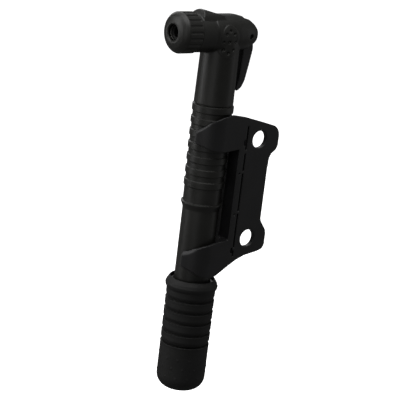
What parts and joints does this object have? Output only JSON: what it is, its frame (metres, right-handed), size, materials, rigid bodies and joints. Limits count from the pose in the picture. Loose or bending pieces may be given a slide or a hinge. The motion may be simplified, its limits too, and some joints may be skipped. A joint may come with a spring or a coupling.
{
  "type": "bicycle mini pump with frame bracket",
  "caption": "Slim telescopic hand pump with a T head, screw-down valve chuck, thumb lock lever and ribbed rubber grip, held in a clip bracket for a bicycle frame.",
  "frame": {"origin": "on the back face of the bracket plate, midway between its two bolt holes", "axes": "+Z along the barrel towards the head; +Y out of the plate's back face, towards the bicycle's tube; +X from the barrel towards the bolt holes, so the valve mouth faces -X"},
  "size_m": [0.0816, 0.0334, 0.2445],
  "materials": {
    "pump_plastic": "satin moulded black plastic",
    "bracket_nylon": "satin moulded black nylon",
    "lever_nylon": "satin moulded black nylon",
    "grip_rubber": "matt moulded rubber",
    "seal_rubber": "black nitrile rubber",
    "inner_plastic": "grey moulded acetal",
    "pin_steel": "blackened steel",
    "steel": "bright drawn steel"
  },
  "bodies": {
    "bracket": {"bracket": "bracket_nylon"},
    "pump": {"head_housing": "pump_plastic", "barrel": "pump_plastic", "head_gasket": "seal_rubber", "valve_retainer": "inner_plastic", "gland": "inner_plastic", "rod_wiper": "seal_rubber", "top_out_bumper": "seal_rubber", "lever_pin": "pin_steel", "valve_grommet": "seal_rubber"},
    "check_valve": {"check_valve_disc": "seal_rubber"},
    "plunger": {"plunger": "inner_plastic", "plunger_o_ring": "seal_rubber"},
    "lever": {"lever": "lever_nylon"},
    "washer": {"thrust_washer": "inner_plastic"},
    "collar": {"collar": "pump_plastic"},
    "piston": {"piston_head": "inner_plastic", "piston_seal": "seal_rubber"},
    "handle": {"piston_rod": "steel", "piston_nut": "steel", "handle_core": "pump_plastic", "bottom_bumper": "seal_rubber", "grip_sleeve": "grip_rubber", "end_cap": "grip_rubber", "handle_screw": "steel"}
  },
  "joints": [
    {"name": "pump_release", "type": "slide", "parent": "bracket", "child": "pump", "axis": [0, 1, 0], "range_m": [0, 0.04]},
    {"name": "handle_stroke", "type": "slide", "parent": "pump", "child": "piston", "axis": [0, 0, -1], "range_m": [0, 0.15]},
    {"name": "handle_turn", "type": "hinge", "parent": "piston", "child": "handle", "pos_m": [-0.028, 0.0121, 0], "axis": [0, 0, 1], "continuous": true},
    {"name": "lock_lever", "type": "hinge", "parent": "pump", "child": "lever", "pos_m": [-0.0128, 0.0121, 0.0957], "axis": [0, -1, 0], "range_deg": [0, 90]},
    {"name": "plunger_travel", "type": "slide", "parent": "pump", "child": "plunger", "axis": [-1, 0, 0], "range_m": [0, 0.0021], "deforming": ["valve_grommet"]},
    {"name": "collar_travel", "type": "slide", "parent": "pump", "child": "washer", "axis": [-1, 0, 0], "range_m": [0, 0.0061]},
    {"name": "collar_turn", "type": "hinge", "parent": "washer", "child": "collar", "pos_m": [-0.058, 0.0121, 0.097], "axis": [-1, 0, 0], "range_deg": [0, 1080]},
    {"name": "valve_lift", "type": "slide", "parent": "pump", "child": "check_valve", "axis": [0, 0, 1], "range_m": [0, 0.0018]}
  ],
  "couplings": [
    {"joint": "plunger_travel", "follows": "lock_lever", "m_per_rad": 0.0012732},
    {"joint": "collar_travel", "follows": "collar_turn", "m_per_rad": 0.0003183}
  ]
}
